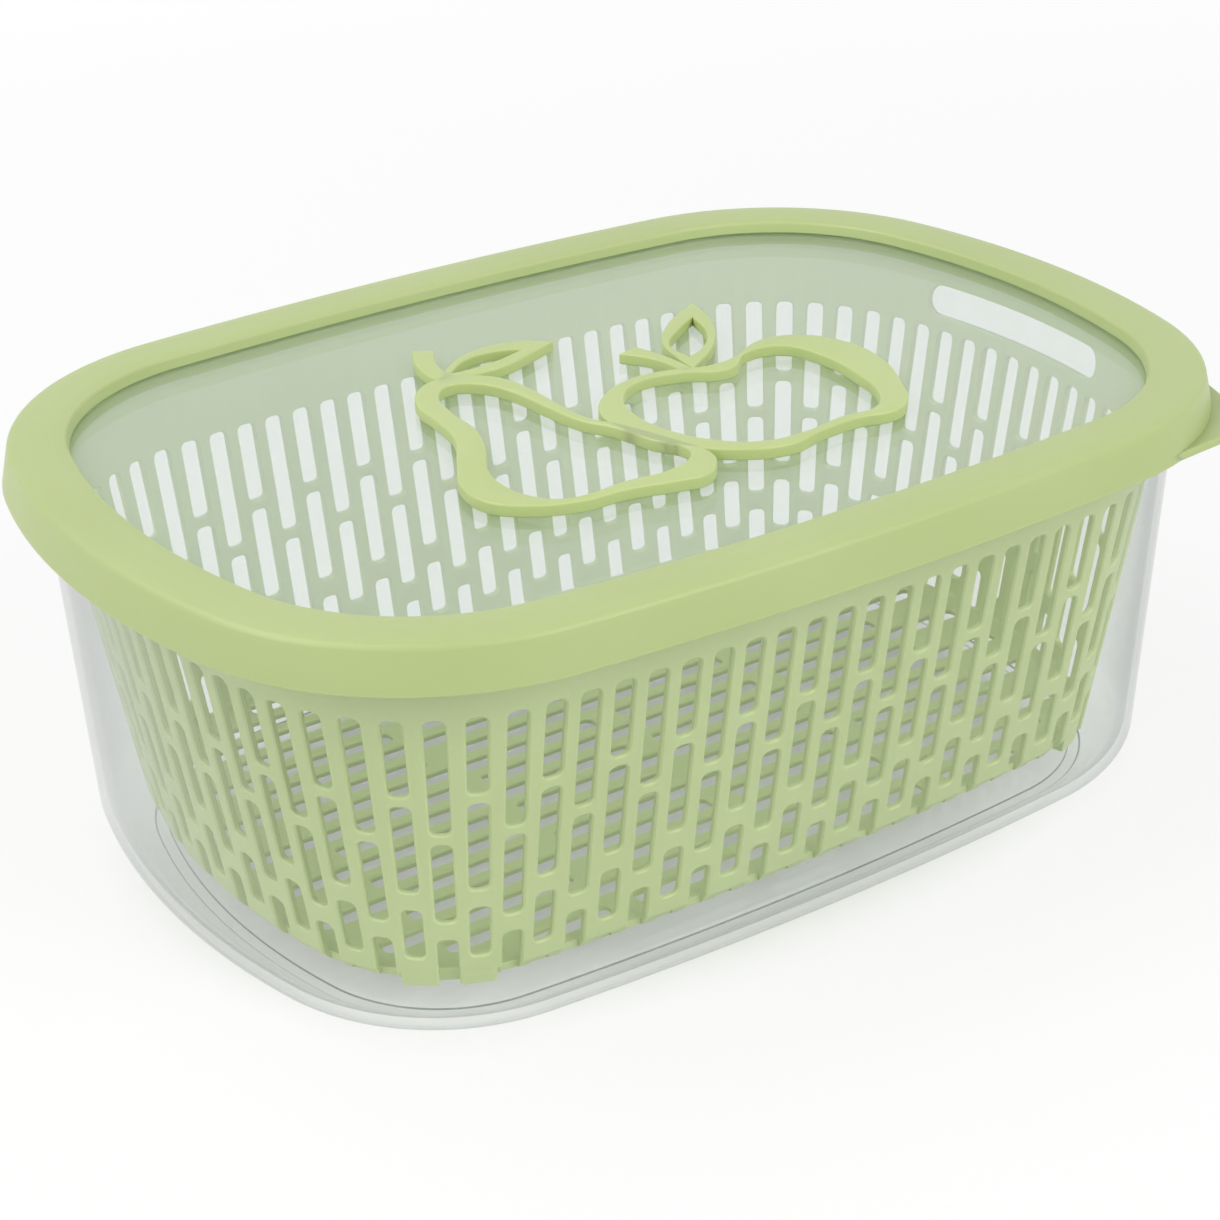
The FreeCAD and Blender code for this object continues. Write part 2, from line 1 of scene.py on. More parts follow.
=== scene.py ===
# %% [markdown]
# A produce keeper in clear and green plastic.
# The real keeper has five mouldings: a clear tub, a green basket full of draining slots that
# hangs in it, and a lid made of a green rim, a clear window and a grip drawn as two fruits.
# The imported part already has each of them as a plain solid. This script rebuilds each one with
# its rounded edges and gives it the plastic that it is moulded in.

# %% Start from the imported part
import bmesh
import bpy
import math
from mathutils import Matrix, Vector


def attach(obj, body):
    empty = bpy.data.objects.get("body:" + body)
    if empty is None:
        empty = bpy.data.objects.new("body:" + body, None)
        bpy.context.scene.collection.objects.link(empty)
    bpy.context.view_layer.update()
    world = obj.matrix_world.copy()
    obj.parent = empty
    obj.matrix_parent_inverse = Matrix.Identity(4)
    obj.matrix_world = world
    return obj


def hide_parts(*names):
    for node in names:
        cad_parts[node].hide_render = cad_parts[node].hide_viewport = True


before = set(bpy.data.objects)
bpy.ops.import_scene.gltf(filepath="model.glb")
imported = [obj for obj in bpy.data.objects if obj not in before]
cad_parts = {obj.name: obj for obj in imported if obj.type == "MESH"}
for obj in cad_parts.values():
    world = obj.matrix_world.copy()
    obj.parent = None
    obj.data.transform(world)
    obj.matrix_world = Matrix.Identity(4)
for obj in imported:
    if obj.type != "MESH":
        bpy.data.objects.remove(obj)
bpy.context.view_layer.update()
MM = 0.001

# %% [markdown]
# The outline. Every piece but the grip follows one plan outline: eight arcs, each tangent to
# the next. It could be drawn as a curve object, but a formula is better here, because moving
# it inward by an inset only shortens each arc's radius, so all the pieces nest exactly.
# Insets are in millimetres, measured inward from the crease round the lid's top edge.

# %% Plan outline
HALF_LENGTH, HALF_WIDTH = 150.0, 106.0
SIDE_BOW, END_BOW, CORNER_BOW = 990.0, 205.0, 69.0


def corner_centre():
    side_y, end_x = HALF_WIDTH - SIDE_BOW, HALF_LENGTH - END_BOW
    side_reach, end_reach = SIDE_BOW - CORNER_BOW, END_BOW - CORNER_BOW
    apart = math.hypot(end_x, side_y)
    along = (side_reach ** 2 - end_reach ** 2 + apart ** 2) / (2 * apart)
    across = math.sqrt(side_reach ** 2 - along ** 2)
    ux, uy = end_x / apart, -side_y / apart
    return ux * along + uy * across, side_y + uy * along - ux * across


CORNER_X, CORNER_Y = corner_centre()
SIDE_Y, END_X = HALF_WIDTH - SIDE_BOW, HALF_LENGTH - END_BOW
END_ANGLE = math.atan2(CORNER_Y, CORNER_X - END_X)
SIDE_ANGLE = math.atan2(CORNER_Y - SIDE_Y, CORNER_X)
PI = math.pi
# Centre x, centre y, radius, start and stop angle, once round from the middle of the +X end.
OUTLINE_ARCS = (
    (END_X, 0, END_BOW, 0, END_ANGLE),
    (CORNER_X, CORNER_Y, CORNER_BOW, END_ANGLE, SIDE_ANGLE),
    (0, SIDE_Y, SIDE_BOW, SIDE_ANGLE, PI - SIDE_ANGLE),
    (-CORNER_X, CORNER_Y, CORNER_BOW, PI - SIDE_ANGLE, PI - END_ANGLE),
    (-END_X, 0, END_BOW, PI - END_ANGLE, PI + END_ANGLE),
    (-CORNER_X, -CORNER_Y, CORNER_BOW, PI + END_ANGLE, PI + SIDE_ANGLE),
    (0, -SIDE_Y, SIDE_BOW, PI + SIDE_ANGLE, 2 * PI - SIDE_ANGLE),
    (CORNER_X, -CORNER_Y, CORNER_BOW, 2 * PI - SIDE_ANGLE, 2 * PI - END_ANGLE),
    (END_X, 0, END_BOW, 2 * PI - END_ANGLE, 2 * PI),
)


def outline_stations(step):
    stations = []
    for x, y, radius, start, stop in OUTLINE_ARCS:
        count = max(3, round((stop - start) * radius / step))
        turns = [start + (stop - start) * k / count for k in range(count)]
        stations += [(x, y, radius, turn) for turn in turns]
    return stations


def outline_place(station, inset, height):
    x, y, radius, turn = station
    reach = radius - inset
    return Vector((x + reach * math.cos(turn), y + reach * math.sin(turn), height)) * MM


STATIONS = outline_stations(step=2.0)
print("outline stations:", len(STATIONS))

# %% [markdown]
# Moulded pieces as a swept section. The tub, the rim and the basket's wall are each one
# section run round the outline, the way a potter's rib shapes a rim. The section is listed
# as corners with a radius, and a helper rounds them, because every edge of a real moulding
# is rounded: a mould can't be cut dead sharp, and the rounding is what catches the light.

# %% Rounded sections
def softened(corners, flats=5):
    points = []
    for index, (inset, height, radius) in enumerate(corners):
        corner = Vector((inset, height))
        if radius == 0:
            points.append((inset, height))
            continue
        before = (Vector(corners[index - 1][:2]) - corner).normalized()
        after = (Vector(corners[(index + 1) % len(corners)][:2]) - corner).normalized()
        half = before.angle(after) / 2
        centre = corner + (before + after).normalized() * (radius / math.sin(half))
        first = corner + before * (radius / math.tan(half)) - centre
        last = corner + after * (radius / math.tan(half)) - centre
        for step in range(flats + 1):
            arm = first.lerp(last, step / flats).normalized() * radius
            points.append(tuple(centre + arm))
    return points


def swept_mesh(name, section, stations, capped):
    build = bmesh.new()
    rings = [[build.verts.new(outline_place(station, inset, height)) for station in stations]
             for inset, height in section]
    pairs = list(zip(rings, rings[1:]))
    if capped:
        build.faces.new(rings[0])
        build.faces.new(rings[-1])
    else:
        pairs.append((rings[-1], rings[0]))
    for lower, upper in pairs:
        for k in range(len(stations)):
            build.faces.new((lower[k - 1], lower[k], upper[k], upper[k - 1]))
    bmesh.ops.recalc_face_normals(build, faces=build.faces)
    mesh = bpy.data.meshes.new(name)
    build.to_mesh(mesh)
    build.free()
    return mesh


# %% Placing a finished piece
SMOOTH_ANGLE = math.radians(40)


def place_piece(name, mesh, node, body, material):
    mesh.shade_smooth()
    mesh.set_sharp_from_angle(angle=SMOOTH_ANGLE)
    piece = bpy.data.objects.new(name, mesh)
    bpy.context.scene.collection.objects.link(piece)
    mesh.materials.clear()
    mesh.materials.append(material)
    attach(piece, body)
    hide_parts(node)
    print(name, "faces:", len(mesh.polygons))
    return piece


# %% [markdown]
# Materials start from what the real thing is. One helper turns the written sRGB colour into
# the linear numbers that a shader needs, and one adds a node with its settings and links.

# %% Material helpers
def linear_colour(code):
    shares = [int(code[k:k + 2], 16) / 255 for k in (1, 3, 5)]
    return tuple(s / 12.92 if s <= 0.04045 else ((s + 0.055) / 1.055) ** 2.4
                 for s in shares) + (1.0,)


def add_node(material, kind, settings=(), **links):
    node = material.node_tree.nodes.new(kind)
    for key, value in dict(settings).items():
        if key in node.inputs:
            node.inputs[key].default_value = value
        else:
            setattr(node, key, value)
    for key, socket in links.items():
        material.node_tree.links.new(socket, node.inputs[key.replace("_", " ")])
    return node


def new_material(name):
    material = bpy.data.materials.new(name)
    material.use_nodes = True
    material.node_tree.nodes.clear()
    return material


# %% [markdown]
# Green polypropylene. Such kitchenware is injection moulded in polypropylene with a fine
# spark-eroded mould texture, which leaves a satin surface: highlights are broad and soft.
# The resin is slightly cloudy, so light bleeds a little way into it and softens the shade in
# the slots. Pigment flows unevenly in the mould, so the colour drifts by a few percent over
# a few centimetres. The grain is really about 0.1 mm and is drawn at 0.4 mm, so that it shows.

# %% Green polypropylene
def green_polypropylene(name, pale, deep, roughness):
    material = new_material(name)
    drift_size, grain_size, grain_depth = 40.0, 0.4, 0.05
    roughness_spread, grain_strength = 0.06, 0.12
    bleed_share, bleed_reach = 0.35, 1.5
    place = add_node(material, "ShaderNodeTexCoord").outputs["Object"]
    drift = add_node(material, "ShaderNodeTexNoise",
                     {"Scale": 1 / (drift_size * MM), "Detail": 0.0}, Vector=place)
    colour = add_node(material, "ShaderNodeMix", {"data_type": "RGBA"},
                      Factor=drift.outputs["Fac"])
    colour.inputs[6].default_value = linear_colour(pale)
    colour.inputs[7].default_value = linear_colour(deep)
    grain = add_node(material, "ShaderNodeTexNoise",
                     {"Scale": 1 / (grain_size * MM), "Detail": 0.0}, Vector=place)
    rough = add_node(material, "ShaderNodeMapRange",
                     {"To Min": roughness - roughness_spread,
                      "To Max": roughness + roughness_spread},
                     Value=grain.outputs["Fac"])
    bump = add_node(material, "ShaderNodeBump",
                    {"Strength": grain_strength, "Distance": grain_depth * MM},
                    Height=grain.outputs["Fac"])
    plastic = add_node(material, "ShaderNodeBsdfPrincipled",
                       {"IOR": 1.49, "Subsurface Weight": bleed_share,
                        "Subsurface Scale": bleed_reach * MM,
                        "Subsurface Radius": (1.0, 1.0, 0.8)},
                       Base_Color=colour.outputs[2], Roughness=rough.outputs["Result"],
                       Normal=bump.outputs["Normal"])
    add_node(material, "ShaderNodeOutputMaterial", Surface=plastic.outputs["BSDF"])
    return material


# One green plastic in three copies, with painted light: the basket's is painted lighter against the
# shade inside the tub, the grip's lighter against the shade on its sides, and the rim's darker
# against the stronger light on it.
basket_green_painted_lighter = green_polypropylene("green_polypropylene_basket_painted_lighter", "#cddca0", "#c6d596", 0.42)
grip_green_painted_lighter = green_polypropylene("green_polypropylene_grip_painted_lighter", "#bccb8a", "#b6c582", 0.40)
rim_green_painted_darker = green_polypropylene("green_polypropylene_lid_painted_darker", "#b4c386", "#adbc7d", 0.40)

# %% [markdown]
# Clear plastic. The tub and the window are clear styrene copolymer out of polished moulds.
# A refracting shader would be the obvious choice, but the walls are only 2 mm thick and
# hardly shift what is seen through them, so each face is drawn as a thin sheet. It lets most
# light straight through, greyer where it is seen edge-on and through more plastic, and it
# mirrors the rest by Schlick's rule: 4% face-on, for an index of about 1.5, and far more at a
# grazing angle. The mirror has no roughness, since a polished mould leaves a polished face.
# Haze stands for the fine scratches on the window. The two small edges of the ring under the
# tub bend light away from the eye, which a thin sheet can't do, so they are darkened by
# their height and show as a fine double line.

# %% Clear styrene
SCHLICK_POWER, FACE_ON_MIRROR = 5.0, 0.04
RING_EDGE_MIDDLE, RING_EDGE_REACH = 0.25, 0.2


def clear_styrene(name, face_on, edge_on, haze, wave_size, wave_height):
    material = new_material(name)
    place = add_node(material, "ShaderNodeTexCoord").outputs["Object"]
    wave = add_node(material, "ShaderNodeTexNoise",
                    {"Scale": 1 / (wave_size * MM), "Detail": 0.0}, Vector=place)
    bump = add_node(material, "ShaderNodeBump",
                    {"Strength": 1.0, "Distance": wave_height * MM},
                    Height=wave.outputs["Fac"])
    slant = add_node(material, "ShaderNodeLayerWeight", {"Blend": 0.5}).outputs["Facing"]
    steep = add_node(material, "ShaderNodeMath", {"operation": "POWER"})
    material.node_tree.links.new(slant, steep.inputs[0])
    steep.inputs[1].default_value = SCHLICK_POWER
    height = add_node(material, "ShaderNodeSeparateXYZ", Vector=place).outputs["Z"]
    ring_edge = add_node(material, "ShaderNodeMath", {"operation": "COMPARE"})
    material.node_tree.links.new(height, ring_edge.inputs[0])
    ring_edge.inputs[1].default_value = RING_EDGE_MIDDLE * MM
    ring_edge.inputs[2].default_value = RING_EDGE_REACH * MM
    shade = add_node(material, "ShaderNodeMath", {"operation": "MAXIMUM"})
    material.node_tree.links.new(steep.outputs[0], shade.inputs[0])
    material.node_tree.links.new(ring_edge.outputs[0], shade.inputs[1])
    tint = add_node(material, "ShaderNodeMix", {"data_type": "RGBA"}, Factor=shade.outputs[0])
    tint.inputs[6].default_value = linear_colour(face_on)
    tint.inputs[7].default_value = linear_colour(edge_on)
    through = add_node(material, "ShaderNodeBsdfTransparent", Color=tint.outputs[2])
    cloud = add_node(material, "ShaderNodeBsdfDiffuse", {"Color": linear_colour("#e6efea")})
    body = add_node(material, "ShaderNodeMixShader", {"Fac": haze})
    material.node_tree.links.new(through.outputs[0], body.inputs[1])
    material.node_tree.links.new(cloud.outputs[0], body.inputs[2])
    mirrored = add_node(material, "ShaderNodeMapRange",
                        {"To Min": FACE_ON_MIRROR, "To Max": 1.0}, Value=steep.outputs[0])
    shine = add_node(material, "ShaderNodeBsdfGlossy",
                     {"Color": (1, 1, 1, 1), "Roughness": 0.0},
                     Normal=bump.outputs["Normal"])
    surface = add_node(material, "ShaderNodeMixShader", Fac=mirrored.outputs["Result"])
    material.node_tree.links.new(body.outputs[0], surface.inputs[1])
    material.node_tree.links.new(shine.outputs[0], surface.inputs[2])
    add_node(material, "ShaderNodeOutputMaterial", Surface=surface.outputs[0])
    return material


tub_plastic = clear_styrene("clear_styrene_tub", "#f9faf9", "#9aa39e", haze=0.0,
                            wave_size=30.0, wave_height=0.05)
window_plastic = clear_styrene("clear_styrene_window", "#fbfdfc", "#c8d0cb", haze=0.14,
                               wave_size=60.0, wave_height=0.01)

# %% [markdown]
# The tub. One clear moulding with an upright wall, a generous rounding down to the foot, and
# a low ring that it stands on, whose two edges show as a double line through the wall. The
# section starts at the hollow under the floor, goes round the outside and over the rim, and
# ends on the floor inside, so two flat faces close it.

# %% Tub
TUB_RIM, TUB_FLOOR = 108.4, 3.2
tub_section = softened((
    (31.0, 1.2, 0), (29.0, 1.2, 0.4), (28.6, 0.0, 0.4), (25.8, 0.0, 0.3), (25.2, 0.5, 0.4),
    (12.4, 0.6, 11.8), (6.5, 106.9, 0.6), (1.4, 106.9, 0.5), (1.4, TUB_RIM, 0.6),
    (8.3, TUB_RIM, 0.6), (14.2, TUB_FLOOR, 10.6), (31.0, TUB_FLOOR, 0),
), flats=10)
tub = place_piece("container_clear", swept_mesh("container_clear", tub_section, STATIONS, True),
                  "container", "tub", tub_plastic)
tub.visible_shadow = False

# %% [markdown]
# The basket's wall and floor. The wall leans in as it goes down, so that the mould can
# release it. Slots could be modelled cell by cell, but punching them with one Boolean is
# shorter and keeps the wall's curve: every slot is a small block whose rings are flared
# where it meets the wall's two faces, so each cut leaves a softened edge.

# %% Basket wall
BASKET_BOTTOM, BASKET_FLOOR, BASKET_WALL = 10.4, 12.3, 1.9
BASKET_TOP_INSET, BASKET_LEAN, FLANGE_TOP = 8.8, 0.162, 110.0


def wall_inset(height):
    return BASKET_TOP_INSET + BASKET_LEAN * (TUB_RIM - height)


BEVEL_TOP = BASKET_BOTTOM + 3.0
basket_section = softened((
    (wall_inset(BASKET_BOTTOM) + 8, BASKET_BOTTOM, 0),
    (wall_inset(BASKET_BOTTOM) + 1.8, BASKET_BOTTOM, 0.6),
    (wall_inset(BEVEL_TOP), BEVEL_TOP, 1.2),
    (BASKET_TOP_INSET, TUB_RIM, 0.8),
    (2.4, TUB_RIM, 0.4), (2.4, FLANGE_TOP, 0.5), (BASKET_TOP_INSET + BASKET_WALL, FLANGE_TOP, 0.7),
    (wall_inset(BASKET_FLOOR) + BASKET_WALL, BASKET_FLOOR, 1.5),
    (wall_inset(BASKET_FLOOR) + 12, BASKET_FLOOR, 0),
), flats=3)
basket_mesh = swept_mesh("basket_slotted", basket_section, STATIONS, True)

# %% Where the slot columns stand
COLUMNS = 88
MIDDLE_INSET = wall_inset((TUB_RIM + BASKET_BOTTOM) / 2)
CIRCUIT = sum((stop - start) * (radius - MIDDLE_INSET)
              for x, y, radius, start, stop in OUTLINE_ARCS)
PITCH = CIRCUIT / COLUMNS


def wall_station(travel):
    for x, y, radius, start, stop in OUTLINE_ARCS:
        length = (stop - start) * (radius - MIDDLE_INSET)
        if travel <= length:
            return x, y, radius, start + travel / (radius - MIDDLE_INSET)
        travel -= length
    return OUTLINE_ARCS[0][:4]


# Columns are numbered from the middle of a side, 0, to the middle of an end, 22.
def column_number(index):
    quarter = COLUMNS // 4
    from_end = index % (2 * quarter)
    return quarter - min(from_end, 2 * quarter - from_end)


print("slot columns:", COLUMNS, "spacing in mm: %.2f" % PITCH)


# %% Slot cutters
SLOT_HALF, SLOT_RADIUS = 2.5, 1.6
EDGE = 0.45
OPEN_BELOW = 7.0
# Each ring of a cutter is a depth from the wall's outer face and how far it is widened there.
# The hand slot is so long that the wall bows within it, so the first ring stands well outside.
# A notch at the foot ends just inside the wall and leaves the edge of the floor whole.
OUTSIDE, PAST_NOTCH, PAST_WALL = -6.0, 0.4, 2.0
THROUGH = ((OUTSIDE, EDGE), (0, EDGE), (EDGE, 0), (BASKET_WALL - EDGE, 0), (BASKET_WALL, EDGE),
           (BASKET_WALL + PAST_WALL, EDGE))
NOTCH = ((-2.5, EDGE), (0, EDGE), (EDGE, 0), (BASKET_WALL + PAST_NOTCH, 0))


def rounded_box(half_width, low, high, radius, step=50.0, flats=4):
    centres = ((half_width - radius, high - radius), (radius - half_width, high - radius),
               (radius - half_width, low + radius), (half_width - radius, low + radius))
    points = []
    for quarter, (x, y) in enumerate(centres):
        for k in range(flats + 1):
            turn = PI / 2 * (quarter + k / flats)
            points.append(Vector((x + radius * math.cos(turn), y + radius * math.sin(turn))))
    divided = []
    for start, stop in zip(points, points[1:] + points[:1]):
        count = max(1, math.ceil((stop - start).length / step))
        divided += [start.lerp(stop, k / count) for k in range(count)]
    return divided


def lofted(build, rings):
    loops = [[build.verts.new(place) for place in ring] for ring in rings]
    build.faces.new(loops[0])
    build.faces.new(loops[-1])
    for lower, upper in zip(loops, loops[1:]):
        for k in range(len(lower)):
            build.faces.new((lower[k - 1], lower[k], upper[k], upper[k - 1]))


def wall_cutter(build, station, half_width, low, high, radius, depths, step=50.0):
    x, y, bow, turn = station
    rings = []
    for depth, grow in depths:
        outline = rounded_box(half_width + grow, low - grow, high + grow, radius + grow, step)
        ring = []
        for across, height in outline:
            around = turn + across / (bow - wall_inset(height))
            ring.append(outline_place((x, y, bow, around), wall_inset(height) + depth, height))
        rings.append(ring)
    lofted(build, rings)


# Long columns have a tall top slot and an open slot at the foot. The short columns between
# them have a short top slot, a closed low slot and a low notch under it.
LONG_ROWS = ((55.0, 87.2, THROUGH), (28.9, 52.1, THROUGH), (OPEN_BELOW, 23.5, NOTCH))
SHORT_ROWS = ((66.0, 87.2, THROUGH), (38.0, 63.1, THROUGH), (18.0, 32.6, THROUGH),
              (OPEN_BELOW, 12.6, NOTCH))
FOOT_COLUMNS = (11, 12, 13)
HAND_HALF, HAND_RADIUS, HAND_MIDDLE = 35.0, 4.35, TUB_RIM - 12.6


def wall_cutters(build):
    for index in range(COLUMNS):
        station, column = wall_station(index * PITCH), column_number(index)
        for low, high, depths in (LONG_ROWS if column % 2 == 0 else SHORT_ROWS):
            if low == OPEN_BELOW and column % 2 and column in FOOT_COLUMNS:
                continue
            wall_cutter(build, station, SLOT_HALF, low, high, SLOT_RADIUS, depths)
    for index in (0, COLUMNS // 2):
        wall_cutter(build, wall_station(index * PITCH), HAND_HALF, HAND_MIDDLE - HAND_RADIUS,
                    HAND_MIDDLE + HAND_RADIUS, HAND_RADIUS, THROUGH, step=3.0)


# %% [markdown]
# The floor's slots run in straight rows, staggered like brickwork, and stop short of the
# rounded corners, so the rows get shorter towards the sides.

# %% Floor cutters
FLOOR_SLOT, FLOOR_GAP, FLOOR_MARGIN, SHORTEST = 90.0, 8.0, 8.0, 20.0


def row_room(across, edge):
    if across <= (END_BOW - edge) * math.sin(END_ANGLE):
        return END_X + math.sqrt((END_BOW - edge) ** 2 - across ** 2)
    return CORNER_X + math.sqrt(max((CORNER_BOW - edge) ** 2 - (across - CORNER_Y) ** 2, 0))


def floor_cutters(build):
    edge = wall_inset(BASKET_FLOOR) + FLOOR_MARGIN
    row_count = int((HALF_WIDTH - edge - SLOT_HALF) / PITCH)
    spacing = FLOOR_SLOT + FLOOR_GAP
    for row in range(-row_count, row_count + 1):
        room = row_room(abs(row * PITCH) + SLOT_HALF, edge)
        shift = 0 if row % 2 == 0 else spacing / 2
        for segment in range(-2, 3):
            middle = segment * spacing + shift
            start = max(middle - FLOOR_SLOT / 2, -room)
            stop = min(middle + FLOOR_SLOT / 2, room)
            if stop - start < SHORTEST:
                continue
            rings = []
            for height, grow in ((BASKET_BOTTOM - PAST_WALL, EDGE), (BASKET_BOTTOM, EDGE),
                                 (BASKET_BOTTOM + EDGE, 0), (BASKET_FLOOR - EDGE, 0),
                                 (BASKET_FLOOR, EDGE), (BASKET_FLOOR + PAST_WALL, EDGE)):
                flat = rounded_box((stop - start) / 2 + grow, -SLOT_HALF - grow,
                                   SLOT_HALF + grow, SLOT_RADIUS + grow)
                rings.append([Vector((x + (start + stop) / 2, y + row * PITCH, height)) * MM
                              for x, y in flat])
            lofted(build, rings)


# %% [markdown]
# The basket's feet are short pads under its rounded corners, where the wall is carried down
# a little past the bevel. They are joined to the wall before the slots are cut, because the
# middle slot of each corner runs through its foot.

# %% Corner feet
def corner_feet(build):
    bottom, top, thickness, steps = BASKET_BOTTOM - 0.8, BEVEL_TOP, 3.0, 12
    quarter = COLUMNS // 4
    for end in (0, 2 * quarter):
        for side in (-1, 1):
            middle = end + side * (quarter - FOOT_COLUMNS[1])
            travels = [(middle + (k / steps - 0.5) * len(FOOT_COLUMNS)) * PITCH % CIRCUIT
                       for k in range(steps + 1)]
            stations = [wall_station(travel) for travel in travels]
            section = ((wall_inset(bottom), bottom), (wall_inset(top), top),
                       (wall_inset(top) + thickness, top), (wall_inset(bottom) + thickness, bottom))
            lofted(build, [[outline_place(station, inset, height) for inset, height in section]
                           for station in stations])


def built_mesh(name, fill):
    build = bmesh.new()
    fill(build)
    bmesh.ops.recalc_face_normals(build, faces=build.faces)
    mesh = bpy.data.meshes.new(name)
    build.to_mesh(mesh)
    build.free()
    return mesh


# %% Cut the slots
def combined(mesh, steps):
    holder = bpy.data.objects.new("work", mesh)
    bpy.context.scene.collection.objects.link(holder)
    tools = []
    for operation, tool_mesh in steps:
        tool = bpy.data.objects.new("tool", tool_mesh)
        bpy.context.scene.collection.objects.link(tool)
        modifier = holder.modifiers.new("step", "BOOLEAN")
        modifier.operation, modifier.object, modifier.solver = operation, tool, "MANIFOLD"
        tools.append(tool)
    shaped = holder.evaluated_get(bpy.context.evaluated_depsgraph_get())
    result = bpy.data.meshes.new_from_object(shaped)
    for item in [holder] + tools:
        bpy.data.objects.remove(item)
    return without_slivers(result)


# Cuts that nearly touch leave points a hair apart, and faces with no width between them.
HAIR = 0.001 * MM


def without_slivers(mesh):
    build = bmesh.new()
    build.from_mesh(mesh)
    bmesh.ops.remove_doubles(build, verts=build.verts, dist=HAIR)
    bmesh.ops.dissolve_degenerate(build, edges=build.edges, dist=HAIR)
    build.to_mesh(mesh)
    build.free()
    return mesh


basket_mesh = combined(basket_mesh, (
    ("UNION", built_mesh("feet", corner_feet)),
    ("DIFFERENCE", built_mesh("wall_slots", wall_cutters)),
    ("DIFFERENCE", built_mesh("floor_slots", floor_cutters)),
))
place_piece("basket_slotted", basket_mesh, "basket", "tub", basket_green_painted_lighter)

# %% [markdown]
# The lid's rim. A skirt that flares a little, a top that is gently domed, and a ledge inside
# that the window is welded up under. The dome and the soft crease make the wide highlight,
# and a small gap where the rim ends over the window makes the fine dark seam.

# %% Lid rim
CREASE, SKIRT_BOTTOM, WINDOW_TOP = 112.87, 101.14, 108.82
SKIRT_FLARE, SKIRT_WALL, SEAM = 2.6, 1.8, 0.35
rim_section = softened((
    (-SKIRT_FLARE, SKIRT_BOTTOM, 0.5), (-0.1, 112.25, 1.7), (3.6, 112.72, 4.0),
    (7.4, CREASE, 12.0), (11.2, 112.72, 4.0), (14.25, 112.3, 0.9),
    (14.9, WINDOW_TOP + SEAM, 0.3), (13.4, WINDOW_TOP + SEAM, 0.1), (13.4, WINDOW_TOP, 0),
    (11.9, WINDOW_TOP, 0), (11.9, FLANGE_TOP, 0), (SKIRT_WALL, FLANGE_TOP, 0.5),
    (SKIRT_WALL - SKIRT_FLARE, SKIRT_BOTTOM, 0.5),
))
rim_mesh = swept_mesh("lid_rim_green", rim_section, STATIONS, False)

# %% [markdown]
# Flat mouldings from a drawn outline: the pull tab on one corner, and the grip. A 2D curve
# with a little bevel is made for this. Blender fills it, thickens it and rounds its edges,
# and an outline drawn inside another becomes a hole.

# %% Plates from outlines
def plate_mesh(name, outlines, low, high, edge):
    curve = bpy.data.curves.new(name, "CURVE")
    curve.dimensions, curve.fill_mode, curve.resolution_u = "2D", "BOTH", 8
    curve.extrude, curve.bevel_depth = ((high - low) / 2 - edge) * MM, edge * MM
    curve.bevel_resolution, curve.offset = 2, -edge * MM
    for strokes in outlines:
        places = []
        for stroke in strokes:
            last = len(stroke) if len(strokes) == 1 else len(stroke) - 1
            places += [(point, k == 0 and len(strokes) > 1)
                       for k, point in enumerate(stroke[:last])]
        spline = curve.splines.new("BEZIER")
        spline.bezier_points.add(len(places) - 1)
        spline.use_cyclic_u = True
        for knot, ((x, y), pointed) in zip(spline.bezier_points, places):
            knot.co = (x * MM, y * MM, 0)
            knot.handle_left_type = knot.handle_right_type = "VECTOR" if pointed else "AUTO"
    holder = bpy.data.objects.new(name, curve)
    bpy.context.scene.collection.objects.link(holder)
    mesh = bpy.data.meshes.new_from_object(
        holder.evaluated_get(bpy.context.evaluated_depsgraph_get()))
    mesh.transform(Matrix.Translation((0, 0, (low + high) / 2 * MM)))
    bpy.data.objects.remove(holder)
    return mesh


def joined(name, meshes):
    build = bmesh.new()
    for mesh in meshes:
        build.from_mesh(mesh)
    bmesh.ops.remove_doubles(build, verts=build.verts, dist=HAIR)
    mesh = bpy.data.meshes.new(name)
    build.to_mesh(mesh)
    build.free()
    return mesh


# %% Pull tab
TAB_ANGLE, TAB_SPAN, TAB_REACH, TAB_TIP, TAB_PLATE = 52.5, 23.5, 11.0, 8.0, 2.2


def tab_outline():
    outside = CORNER_BOW + SKIRT_FLARE
    root = outside - SKIRT_WALL / 2
    centre = Vector((CORNER_X, -CORNER_Y))

    def toward(turn, radius):
        angle = math.radians(turn - TAB_ANGLE)
        return centre + Vector((math.cos(angle), math.sin(angle))) * radius

    roots = [toward(TAB_SPAN * k / 4, root) for k in range(-4, 5)]
    tip = toward(0, outside + TAB_REACH)
    to_first, to_last = (roots[0] - tip).normalized(), (roots[-1] - tip).normalized()
    half = to_first.angle(to_last) / 2
    heart = tip + (to_first + to_last).normalized() * (TAB_TIP / math.sin(half))
    cut = TAB_TIP / math.tan(half)
    first, last = tip + to_last * cut - heart, tip + to_first * cut - heart
    round_tip = [heart + first.lerp(last, k / 8).normalized() * TAB_TIP for k in range(9)]
    return (tuple(roots), (roots[-1], round_tip[0]), tuple(round_tip), (round_tip[-1], roots[0]))


tab_mesh = plate_mesh("tab", (tab_outline(),), SKIRT_BOTTOM, SKIRT_BOTTOM + TAB_PLATE, 0.5)
place_piece("lid_rim_green", joined("lid_rim_green", (rim_mesh, tab_mesh)), "lid_rim", "lid",
            rim_green_painted_darker)

# %% [markdown]
# The window is a flat clear panel. Its border is hidden under the rim's ledge.

# %% Window
WINDOW_INSET, WINDOW_BOTTOM = 12.2, 106.82
window_section = softened(((20.0, WINDOW_BOTTOM, 0), (WINDOW_INSET, WINDOW_BOTTOM, 0.3),
                           (WINDOW_INSET, WINDOW_TOP, 0.3), (20.0, WINDOW_TOP, 0)), flats=3)
place_piece("lid_window_clear", swept_mesh("lid_window_clear", window_section, STATIONS, True),
            "lid_window", "lid", window_plastic)

